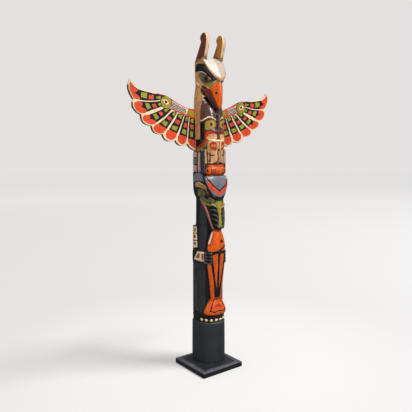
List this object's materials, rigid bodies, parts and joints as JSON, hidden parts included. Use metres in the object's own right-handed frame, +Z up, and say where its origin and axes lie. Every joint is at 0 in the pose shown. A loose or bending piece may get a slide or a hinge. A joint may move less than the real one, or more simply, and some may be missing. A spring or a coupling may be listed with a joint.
{
  "type": "totem pole",
  "caption": "Carved and painted wooden totem pole of stacked bird, beaked and bear-like figures, with two spread wing boards, on a square base plate.",
  "frame": {"origin": "under the log's centre line, at the middle of the base plate's depth, on the plate's underside", "axes": "+Z up along the log, the figures face -Y, the wings spread along X"},
  "size_m": [0.632, 0.178, 1.2062],
  "materials": {
    "plate_black": "black paint, rubbed grey along the edges",
    "pole_painted_wood": "carved wood under satin paint, varnished on the faces",
    "wing_painted_wood": "cream wood board painted with feathers"
  },
  "bodies": {
    "root": {"base_plate": "plate_black", "pole": "pole_painted_wood", "wing_left": "wing_painted_wood", "wing_right": "wing_painted_wood"}
  },
  "joints": []
}
